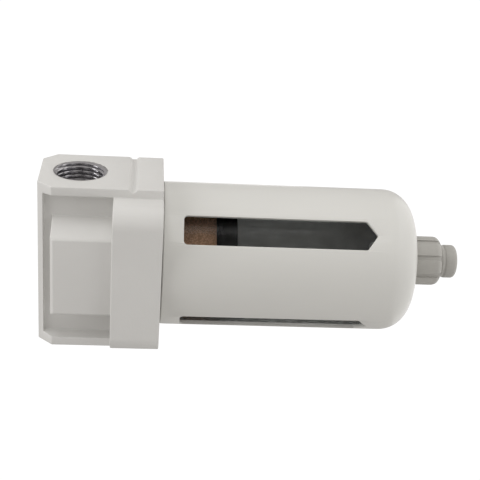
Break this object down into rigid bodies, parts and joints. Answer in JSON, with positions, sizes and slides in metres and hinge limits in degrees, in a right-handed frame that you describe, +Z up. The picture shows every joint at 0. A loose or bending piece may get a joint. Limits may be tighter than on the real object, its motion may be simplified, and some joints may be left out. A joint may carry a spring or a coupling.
{
  "type": "compressed air filter",
  "caption": "Inline compressed air filter: cast head with threaded ports, clear bowl in a slotted metal guard, element on a tie rod and a twist drain.",
  "frame": {"origin": "centre of the inlet port's mouth, on the inlet face", "axes": "+X runs along the port axis from the inlet to the outlet, +Z is up as installed with the bowl hanging down, and -Y is the front"},
  "size_m": [0.07, 0.0642, 0.1744],
  "materials": {
    "cast_paint": "satin light grey paint on die-cast aluminium",
    "guard_paint": "smooth satin off-white paint on drawn metal",
    "bowl_clear": "clear polycarbonate with a smoky tint",
    "element_medium": "brown porous sintered medium",
    "black_plastic": "moulded black plastic",
    "grey_plastic": "moulded grey plastic",
    "white_plastic": "moulded white plastic",
    "seal_rubber": "nitrile rubber",
    "plated_steel": "zinc-plated steel",
    "spring_steel": "drawn spring steel",
    "port_metal": "bare machined aluminium of the threads"
  },
  "bodies": {
    "head": {"head_casting": "cast_paint", "tie_rod": "plated_steel", "tie_rod_locknut": "plated_steel", "deflector": "black_plastic"},
    "element_set": {"element_gasket_top": "seal_rubber", "filter_element": "element_medium", "element_gasket_bottom": "seal_rubber"},
    "baffle_turner": {"baffle": "black_plastic"},
    "bowl_set": {"bowl": "bowl_clear", "bowl_oring": "seal_rubber", "bowl_cushion_ring": "seal_rubber", "drain_strainer": "white_plastic", "drain_housing": "grey_plastic", "drain_gasket": "seal_rubber", "drain_nut": "plated_steel", "knob_retaining_ring": "plated_steel"},
    "guard": {"bowl_guard": "guard_paint"},
    "knob": {"drain_knob": "grey_plastic"},
    "stem": {"drain_stem": "grey_plastic", "valve_seal": "seal_rubber", "stem_oring": "seal_rubber", "drain_spring": "spring_steel"}
  },
  "joints": [
    {"name": "bowl_removal", "type": "slide", "parent": "head", "child": "bowl_set", "axis": [0, 0, -1], "range_m": [0, 0.125]},
    {"name": "guard_turn", "type": "hinge", "parent": "bowl_set", "child": "guard", "pos_m": [0.035, 0, -0.08], "axis": [0, 0, -1], "continuous": true},
    {"name": "element_removal", "type": "slide", "parent": "head", "child": "element_set", "axis": [0, 0, -1], "range_m": [0, 0.05]},
    {"name": "baffle_turn", "type": "hinge", "parent": "element_set", "child": "baffle_turner", "pos_m": [0.035, 0, -0.062], "axis": [0, 0, -1], "continuous": true},
    {"name": "drain_knob_turn", "type": "hinge", "parent": "bowl_set", "child": "knob", "pos_m": [0.035, 0, -0.143], "axis": [0, 0, -1], "range_deg": [0, 90]},
    {"name": "drain_stem_travel", "type": "slide", "parent": "bowl_set", "child": "stem", "axis": [0, 0, -1], "range_m": [0, 0.002], "deforming": ["drain_spring"]}
  ],
  "couplings": [
    {"joint": "drain_knob_turn", "follows": "drain_stem_travel", "rad_per_m": 785}
  ]
}
